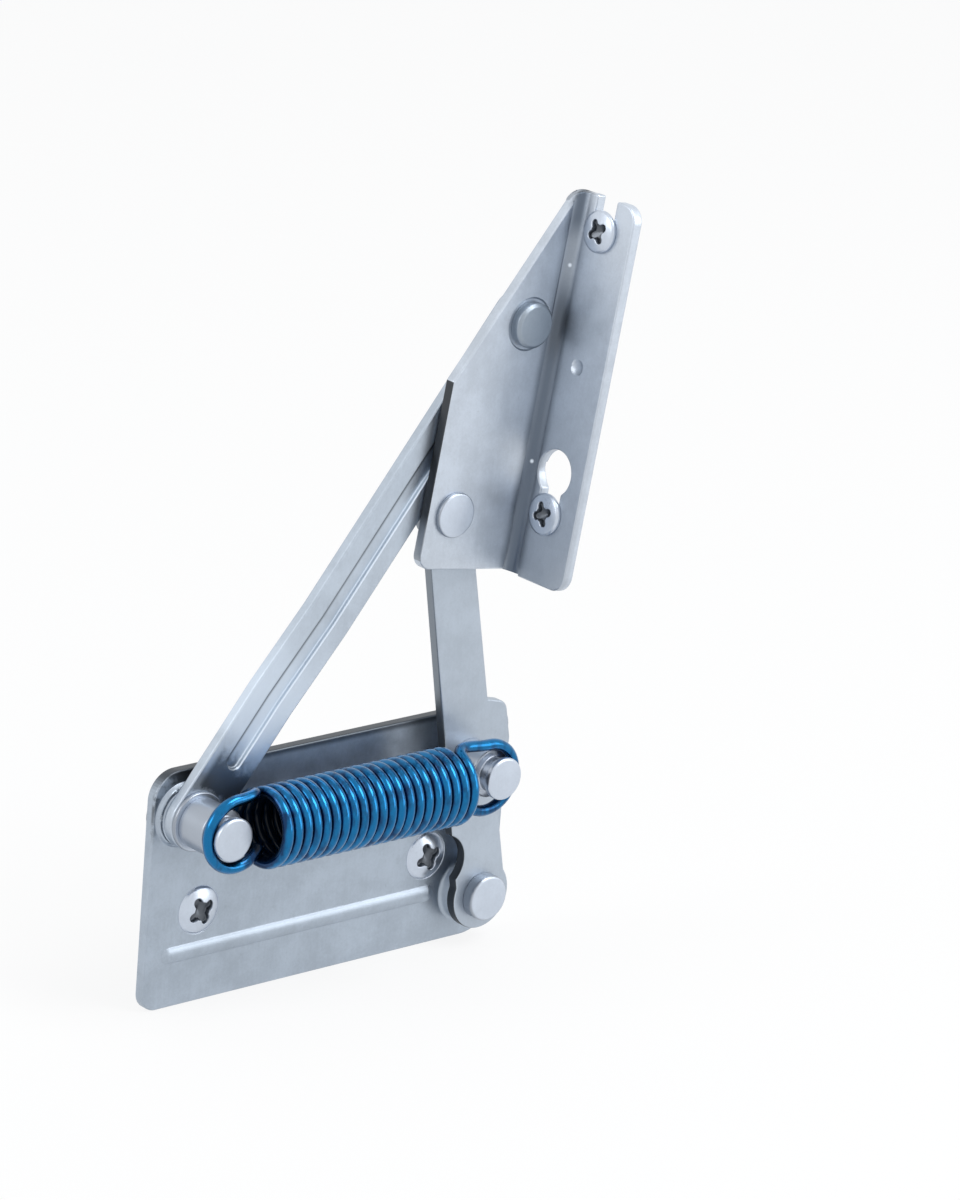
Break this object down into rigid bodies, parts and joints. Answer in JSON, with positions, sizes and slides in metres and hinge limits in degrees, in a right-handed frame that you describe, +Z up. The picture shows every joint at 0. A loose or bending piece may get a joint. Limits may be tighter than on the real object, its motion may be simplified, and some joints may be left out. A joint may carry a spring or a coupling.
{
  "type": "corner bench hinge",
  "caption": "Lift-up lid hinge for a corner bench: base plate, long arm and short link raise an angled lid bracket, with a tension spring between two grooved posts.",
  "frame": {"origin": "Midway between the two base screws, on the mounting face of the base plate.", "axes": "+X runs along the base plate towards the short link's pivot, +Y points into the bench panel that the plate is screwed to, and +Z points up."},
  "size_m": [0.0846, 0.0261, 0.1347],
  "materials": {
    "zinc_sheet": "satin zinc plating",
    "bright_steel": "bright zinc plating",
    "dull_steel": "satin zinc plating",
    "blue_spring": "glossy blue passivated coating",
    "screw_steel": "bright zinc plating"
  },
  "bodies": {
    "base": {"base_plate": "zinc_sheet", "spring_post": "bright_steel", "arm_washer": "bright_steel", "base_rivet": "bright_steel", "base_screws": "screw_steel"},
    "arm": {"long_arm": "zinc_sheet", "upper_rivet_tail": "dull_steel"},
    "link": {"short_link": "zinc_sheet", "link_spring_post": "bright_steel", "lower_lid_rivet": "bright_steel"},
    "lid": {"lid_bracket": "zinc_sheet", "upper_lid_rivet": "dull_steel", "lid_screws": "screw_steel"},
    "spring": {"tension_spring": "blue_spring"}
  },
  "joints": [
    {"name": "link_swing", "type": "hinge", "parent": "base", "child": "link", "pos_m": [0.0346, 0, -0.0076], "axis": [0, 1, 0], "range_deg": [0, 79.3], "stiffness_Nm_per_rad": 1.07, "springref_deg": -24.06},
    {"name": "arm_swing", "type": "hinge", "parent": "base", "child": "arm", "pos_m": [-0.0298, 0, 0.018], "axis": [0, 1, 0], "range_deg": [0, 44.5]},
    {"name": "lid_fold", "type": "hinge", "parent": "link", "child": "lid", "pos_m": [0.01923, 0, 0.06469], "axis": [0, 1, 0], "range_deg": [-177.7, 0]},
    {"name": "spring_stretch", "type": "slide", "parent": "base", "child": "spring", "axis": [0.8857, 0, -0.4643], "range_m": [0, 0.0333], "deforming": ["tension_spring"]}
  ],
  "couplings": [
    {"joint": "arm_swing", "follows": "link_swing", "ratio": 0.55997},
    {"joint": "lid_fold", "follows": "link_swing", "ratio": -2.2396},
    {"joint": "spring_stretch", "follows": "link_swing", "m_per_rad": 0.023972}
  ]
}
